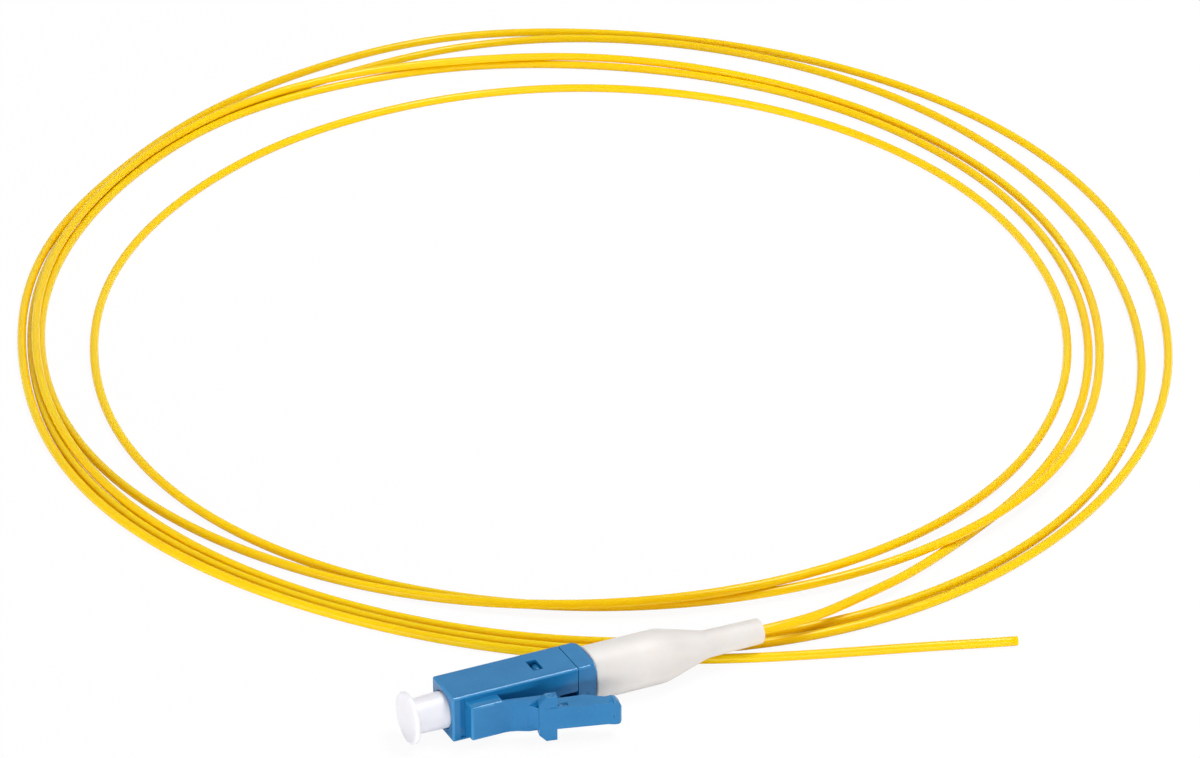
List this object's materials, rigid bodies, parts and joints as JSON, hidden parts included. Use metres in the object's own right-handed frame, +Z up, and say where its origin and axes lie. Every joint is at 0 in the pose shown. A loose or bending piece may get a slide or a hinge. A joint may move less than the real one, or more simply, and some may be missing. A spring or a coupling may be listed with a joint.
{
  "type": "fibre optic pigtail",
  "caption": "Loosely coiled yellow 0.9 mm buffered fibre, cut bare at one end, with a blue latching ferrule plug, white boot and white dust cap at the other.",
  "frame": {"origin": "on the surface that the plug lies on, below the middle of the plug's box, from its cap to its boot", "axes": "+X along the plug from its nose to its boot, +Y away from its latch, towards the middle of the coil, +Z up"},
  "size_m": [0.1252, 0.151, 0.0051],
  "materials": {
    "blue_moulding": "satin moulded plastic with bright edges",
    "cap_plastic": "soft satin, slightly translucent",
    "boot_rubber": "satin elastomer, warm white",
    "yellow_buffer": "satin extruded jacket",
    "ceramic": "polished zirconia",
    "holder_metal": "nickel plated, turned",
    "spring_steel": "drawn wire"
  },
  "bodies": {
    "plug": {"front_housing": "blue_moulding", "back_body": "blue_moulding", "boot": "boot_rubber", "fibre": "yellow_buffer"},
    "latch": {"latch": "blue_moulding"},
    "cap": {"dust_cap": "cap_plastic"},
    "ferrule": {"ferrule": "ceramic", "ferrule_holder": "holder_metal", "spring": "spring_steel"}
  },
  "joints": [
    {"name": "latch_press", "type": "hinge", "parent": "plug", "child": "latch", "pos_m": [-0.00949, -0.0012, 0.00255], "axis": [0, 0, 1], "range_deg": [0, 11.5], "stiffness_Nm_per_rad": 0.0005},
    {"name": "dust_cap_pull", "type": "slide", "parent": "plug", "child": "cap", "axis": [-1, 0, 0], "range_m": [0, 0.006]},
    {"name": "ferrule_float", "type": "slide", "parent": "plug", "child": "ferrule", "axis": [1, 0, 0], "range_m": [0, 0.0005], "stiffness_N_per_m": 20, "springref_m": -0.01, "deforming": ["spring"]}
  ]
}
